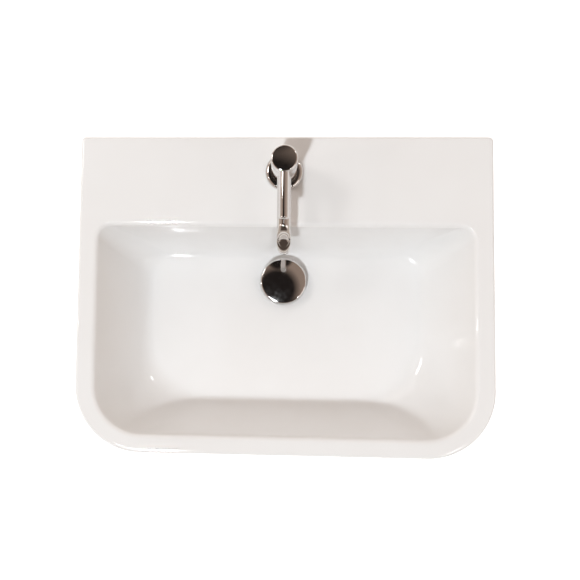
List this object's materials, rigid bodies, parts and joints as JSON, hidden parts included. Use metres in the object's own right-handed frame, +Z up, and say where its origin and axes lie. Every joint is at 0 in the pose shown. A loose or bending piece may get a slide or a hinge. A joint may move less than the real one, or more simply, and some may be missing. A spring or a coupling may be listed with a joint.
{
  "type": "wall hung basin",
  "caption": "Wall hung ceramic basin with rounded front corners and a sloping bowl, a single-lever mixer tap on its deck and a push-to-close waste.",
  "frame": {"origin": "midway between the two wall-fixing holes, on the wall plane at the back of the basin", "axes": "+Z up, +Y into the wall, so the basin reaches out towards -Y; +X to the right of someone who faces the wall, which is also the right-hand side of the picture"},
  "size_m": [0.55, 0.42, 0.3025],
  "materials": {
    "white_glaze": "gloss",
    "chrome": "polished",
    "black_rubber": "matt",
    "white_plastic": "matt",
    "grey_plastic": "matt",
    "disc_ceramic": "ground",
    "brass": "machined",
    "steel": "plain"
  },
  "bodies": {
    "root": {"basin": "white_glaze", "fixing_bushes": "white_plastic", "tap_base_seal": "black_rubber", "tap_base_ring": "chrome", "tap_body": "chrome", "spout": "chrome", "aerator_ring": "chrome", "flow_straightener": "white_plastic", "cartridge_base": "grey_plastic", "cartridge_port_seals": "black_rubber", "fixed_disc": "disc_ceramic", "cartridge_housing": "grey_plastic", "cartridge_nut": "brass", "deck_gasket": "black_rubber", "deck_washer": "steel", "tap_nut": "brass", "tap_stud": "steel", "waste_body": "chrome", "waste_flange_seal": "black_rubber", "waste_gasket": "black_rubber", "waste_slip_washer": "white_plastic", "waste_back_nut": "brass", "plug_guide": "brass", "plug_spring": "steel"},
    "swivel": {"cartridge_carrier": "grey_plastic", "lever_pivot_pin": "steel"},
    "lever": {"lever_spindle": "brass", "handle_cap": "chrome", "lever_rod": "chrome", "handle_grub_screw": "steel", "grub_screw_cover": "chrome"},
    "mixing_disc": {"moving_disc": "disc_ceramic"},
    "plug": {"waste_plug": "chrome", "plug_seal": "black_rubber", "plug_plunger": "brass"}
  },
  "joints": [
    {"name": "lever_swivel", "type": "hinge", "parent": "root", "child": "swivel", "pos_m": [0, -0.048, 0.1475], "axis": [0, 0, 1], "range_deg": [-50, 50]},
    {"name": "lever_lift", "type": "hinge", "parent": "swivel", "child": "lever", "pos_m": [0, -0.048, 0.1475], "axis": [-1, 0, 0], "range_deg": [0, 20]},
    {"name": "disc_slide", "type": "slide", "parent": "swivel", "child": "mixing_disc", "axis": [0, -1, 0], "range_m": [0, 0.0022]},
    {"name": "plug_click", "type": "slide", "parent": "root", "child": "plug", "axis": [0, 0, 1], "range_m": [-0.008, 0], "stiffness_N_per_m": 450, "springref_m": 0.006, "deforming": ["plug_spring"]}
  ],
  "couplings": [
    {"joint": "disc_slide", "follows": "lever_lift", "m_per_rad": 0.0054}
  ]
}
